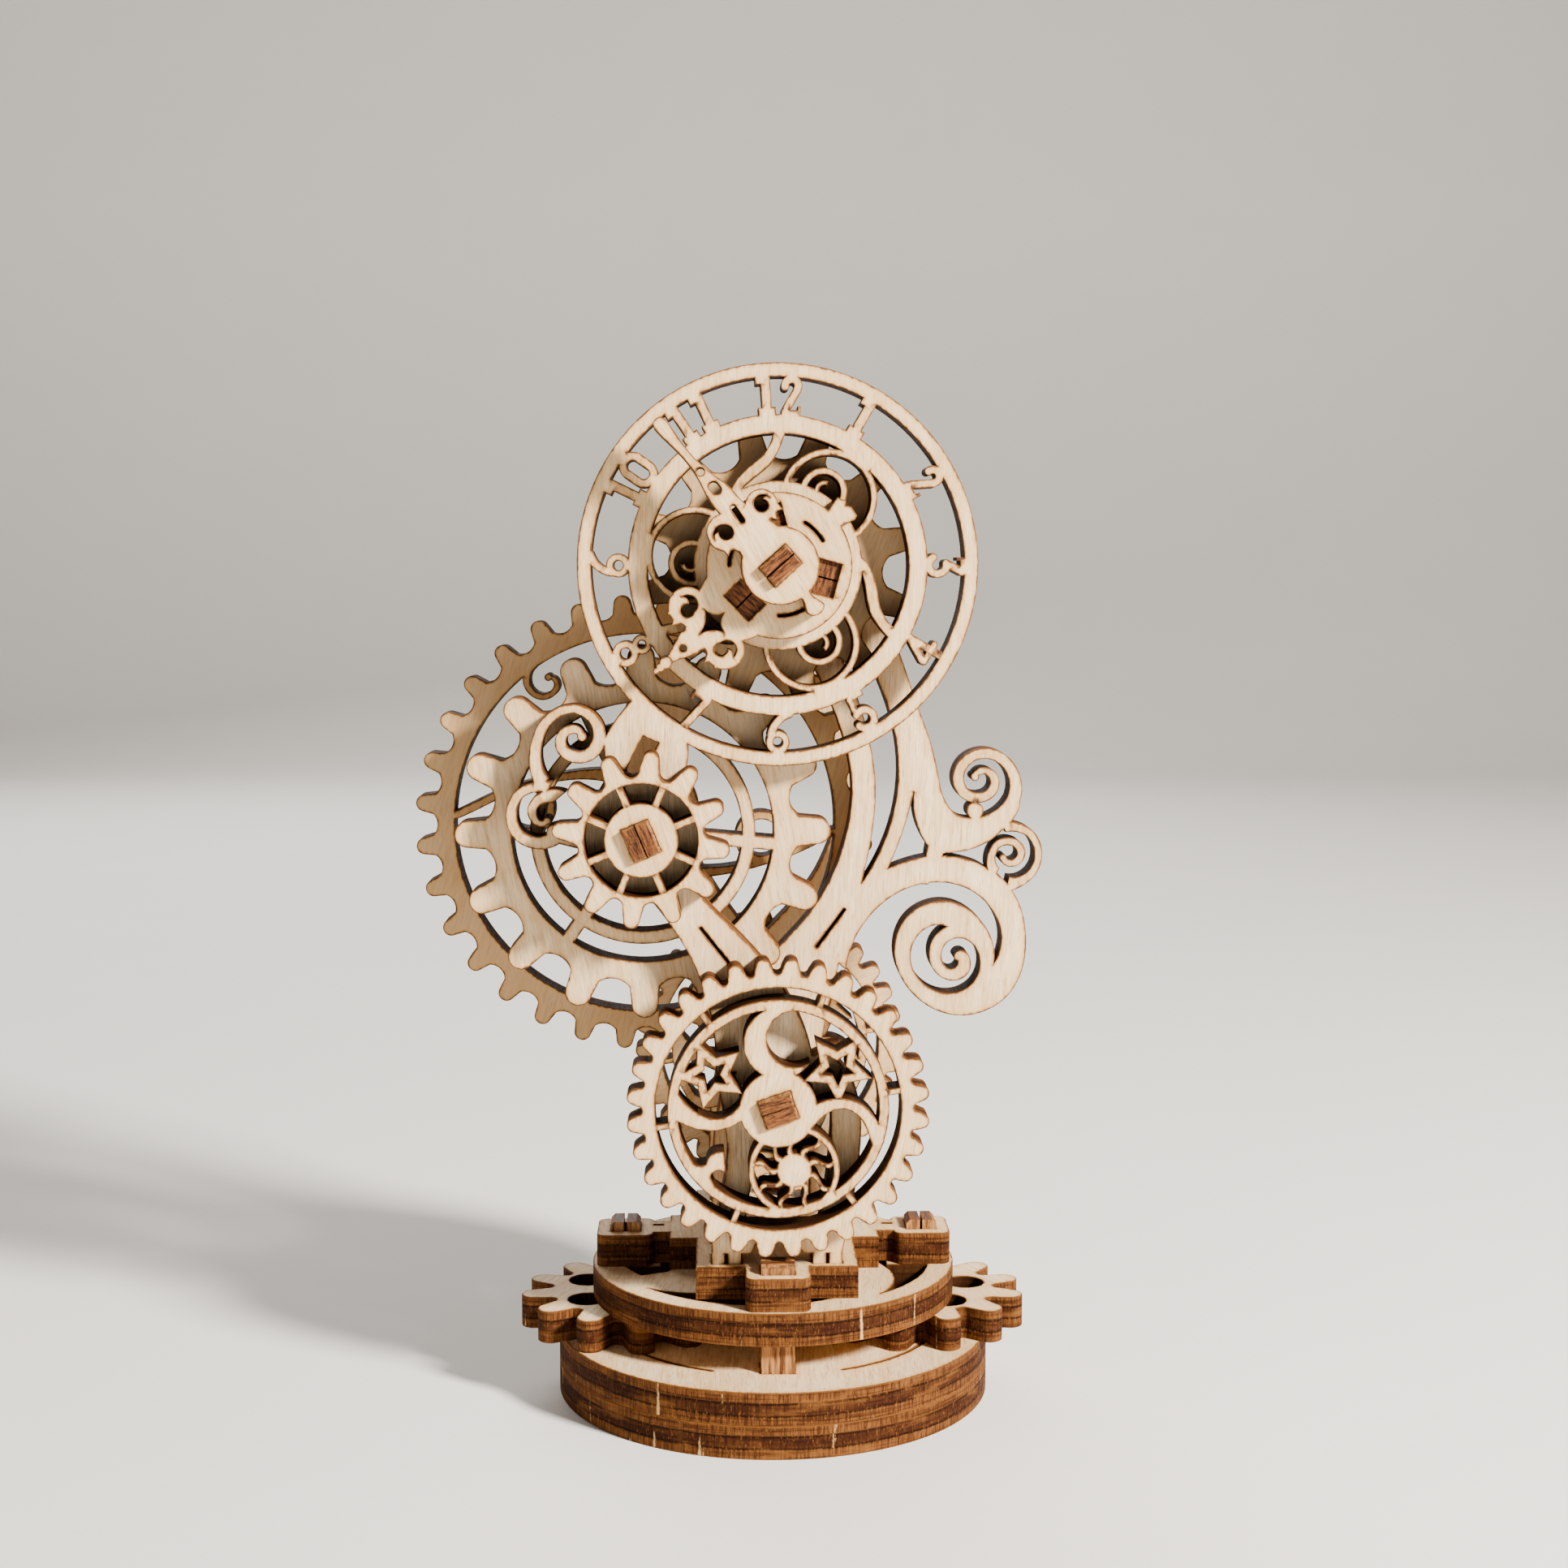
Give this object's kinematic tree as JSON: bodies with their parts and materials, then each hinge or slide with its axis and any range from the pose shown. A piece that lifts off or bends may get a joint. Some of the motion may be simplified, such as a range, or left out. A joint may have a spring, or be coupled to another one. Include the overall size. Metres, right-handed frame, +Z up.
{
  "type": "wooden mechanical desk clock puzzle",
  "caption": "Laser-cut plywood desk clock model with meshing gears, openwork dial, two hands and a scrolled frame on a round base.",
  "frame": {"origin": "centre of the round base's underside, on the table", "axes": "+Z up, -Y towards the viewer who reads the dial, +X to that viewer's right"},
  "size_m": [0.0576, 0.0406, 0.0951],
  "materials": {
    "ply": "raw laser-cut birch plywood",
    "ply_dark_edge": "raw birch plywood with scorched edges",
    "ply_axle": "browned split strip"
  },
  "bodies": {
    "stand": {"base_disc_lower": "ply_dark_edge", "base_disc_upper": "ply_dark_edge", "spacer_gear_left": "ply_dark_edge", "spacer_gear_right": "ply_dark_edge", "base_ring": "ply_dark_edge", "frame_socket": "ply", "base_peg_front": "ply", "base_peg_rear": "ply", "base_peg_left": "ply", "base_peg_right": "ply", "dial_plate": "ply", "scroll_plate": "ply", "rear_frame": "ply"},
    "drive": {"drive_axle": "ply_axle", "front_drive_gear": "ply", "rear_drive_gear": "ply", "drive_pinion": "ply"},
    "middle": {"middle_axle": "ply_axle", "big_wheel": "ply", "middle_wheel": "ply", "cap_gear": "ply"},
    "minute": {"minute_axle": "ply_axle", "minute_pinion": "ply", "minute_hand": "ply"},
    "hour": {"hour_wheel": "ply", "hour_peg_1": "ply_axle", "hour_peg_2": "ply_axle", "hour_peg_3": "ply_axle", "hour_hand": "ply"}
  },
  "joints": [
    {"name": "drive_spin", "type": "hinge", "parent": "stand", "child": "drive", "pos_m": [0, 0, 0.02985], "axis": [0, 1, 0], "continuous": true},
    {"name": "middle_spin", "type": "hinge", "parent": "stand", "child": "middle", "pos_m": [-0.012, 0, 0.0537], "axis": [0, 1, 0], "continuous": true},
    {"name": "minute_spin", "type": "hinge", "parent": "stand", "child": "minute", "pos_m": [0, 0, 0.07755], "axis": [0, 1, 0], "continuous": true},
    {"name": "hour_spin", "type": "hinge", "parent": "stand", "child": "hour", "pos_m": [0, 0, 0.07755], "axis": [0, 1, 0], "continuous": true}
  ],
  "couplings": [
    {"joint": "middle_spin", "follows": "drive_spin", "ratio": -0.3125},
    {"joint": "minute_spin", "follows": "drive_spin", "ratio": 1},
    {"joint": "hour_spin", "follows": "drive_spin", "ratio": 0.41667}
  ]
}
